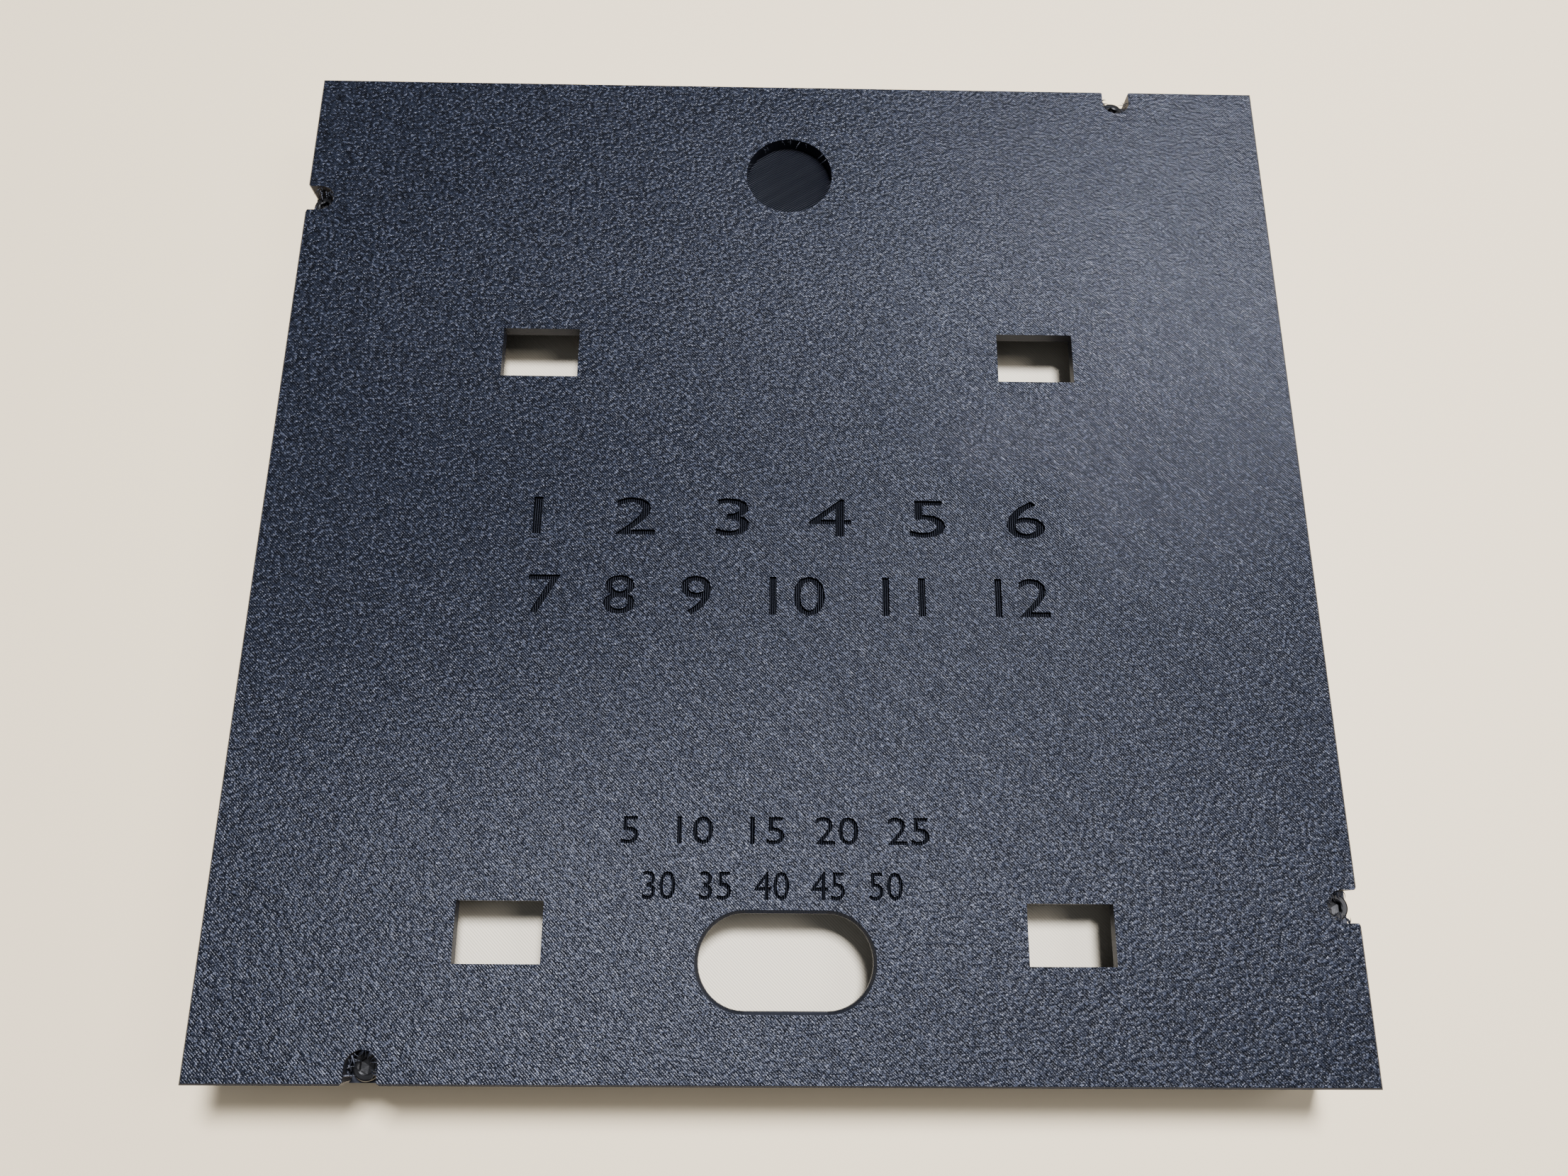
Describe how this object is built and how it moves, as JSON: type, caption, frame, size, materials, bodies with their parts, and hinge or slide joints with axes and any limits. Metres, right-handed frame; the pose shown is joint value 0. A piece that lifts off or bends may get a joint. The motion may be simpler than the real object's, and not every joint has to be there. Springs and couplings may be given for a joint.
{
  "type": "word clock",
  "caption": "Square wall word clock, lying on its face: printed housing, letter plate over a grid of lamps, controller, and a lift-off back cover with windows, cable slot and hanging pocket.",
  "frame": {"origin": "centre of the front face, on the plane that the bezel rests on", "axes": "+Z out of the back cover, +Y to the top of the clock as it hangs, +X to the right as seen from the back"},
  "size_m": [0.1986, 0.1986, 0.025],
  "materials": {
    "cover_plastic": "satin",
    "housing_plastic": "matte",
    "letter_sheet": "matte",
    "diffuser_white": "matte",
    "printed_white": "matte",
    "strip_white": "satin",
    "lamp_yellow": "gloss",
    "copper_link": "satin",
    "screw_black": "satin",
    "screw_steel": "satin",
    "board_green": "satin",
    "board_black": "satin",
    "metal_can": "satin",
    "black_plastic": "matte",
    "button_plastic": "satin",
    "lead_red": "gloss",
    "lead_black": "gloss",
    "lead_green": "gloss"
  },
  "bodies": {
    "clock": {"housing": "housing_plastic", "letter_plate": "letter_sheet", "diffuser_sheet": "diffuser_white", "light_grid": "printed_white", "led_carrier": "printed_white", "led_packages": "lamp_yellow", "strip_links": "copper_link", "strip_connector": "black_plastic", "carrier_screws": "screw_steel", "controller_screws": "screw_steel", "junction_screws": "screw_steel", "controller_board": "board_black", "junction_board": "board_green", "radio_board": "board_green", "radio_shield": "metal_can", "usb_port_shell": "metal_can", "usb_port_tongue": "black_plastic", "interface_chip": "black_plastic", "voltage_regulator": "black_plastic", "reset_button_case": "metal_can", "boot_button_case": "metal_can", "smoothing_capacitor": "metal_can", "data_resistor": "black_plastic", "supply_lead_power": "lead_red", "supply_lead_data": "lead_green", "supply_lead_ground": "lead_black", "feed_lead_power": "lead_red", "feed_lead_data": "lead_green", "feed_lead_ground": "lead_black", "led_strip_01": "strip_white", "led_strip_02": "strip_white", "led_strip_03": "strip_white", "led_strip_04": "strip_white", "led_strip_05": "strip_white", "led_strip_06": "strip_white", "led_strip_07": "strip_white", "led_strip_08": "strip_white", "led_strip_09": "strip_white", "led_strip_10": "strip_white", "led_strip_11": "strip_white"},
    "cover": {"back_cover": "cover_plastic", "cover_screws": "screw_black"},
    "reset_plunger": {"reset_button_plunger": "button_plastic"},
    "boot_plunger": {"boot_button_plunger": "button_plastic"}
  },
  "joints": [
    {"name": "cover_lift", "type": "slide", "parent": "clock", "child": "cover", "axis": [0, 0, 1], "range_m": [0, 0.06]},
    {"name": "reset_button_press", "type": "slide", "parent": "clock", "child": "reset_plunger", "axis": [0, 0, -1], "range_m": [0, 0.00025], "stiffness_N_per_m": 600},
    {"name": "boot_button_press", "type": "slide", "parent": "clock", "child": "boot_plunger", "axis": [0, 0, -1], "range_m": [0, 0.00025], "stiffness_N_per_m": 600}
  ]
}
